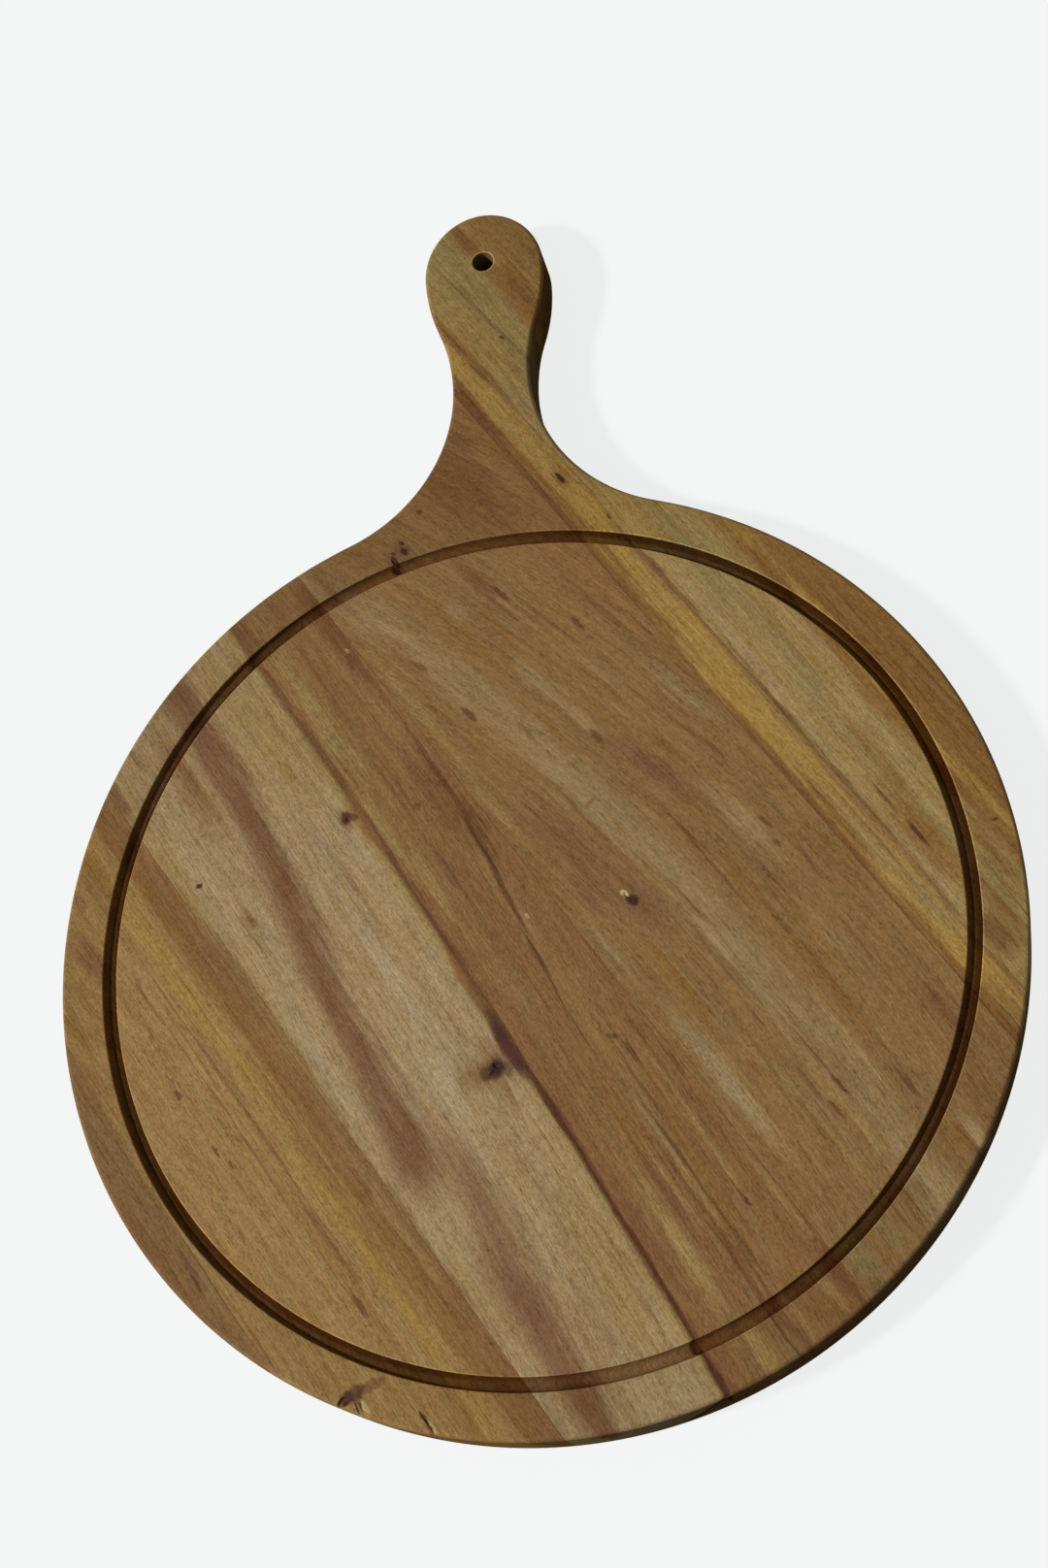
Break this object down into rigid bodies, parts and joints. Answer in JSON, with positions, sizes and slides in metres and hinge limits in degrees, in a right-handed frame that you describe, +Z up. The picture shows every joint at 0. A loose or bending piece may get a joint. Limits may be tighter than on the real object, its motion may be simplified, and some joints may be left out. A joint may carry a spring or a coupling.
{
  "type": "serving board",
  "caption": "Round wooden serving board of edge-glued staves, with a waisted handle, a hanging hole in its head, eased edges and a routed juice groove round the face.",
  "frame": {"origin": "centre of the round, on the underside", "axes": "+Y along the handle towards the hanging hole, +Z up out of the grooved serving face, +X to the right"},
  "size_m": [0.33, 0.4515, 0.02],
  "materials": {
    "handle_stave_wood": "oiled, pale yellow sapwood with brown heartwood at the rim",
    "upper_stave_wood": "oiled, mid-brown heartwood with interlocked grain",
    "lower_stave_wood": "oiled, reddish heartwood meeting greyish sapwood along a dark vein, with knots",
    "outer_stave_wood": "oiled, straight-grained golden tan",
    "glue": "cured wood glue, seen only as a thin dark line"
  },
  "bodies": {
    "root": {"handle_stave": "handle_stave_wood", "upper_stave": "upper_stave_wood", "lower_stave": "lower_stave_wood", "outer_stave": "outer_stave_wood", "handle_glue_line": "glue", "middle_glue_line": "glue", "outer_glue_line": "glue"}
  },
  "joints": []
}
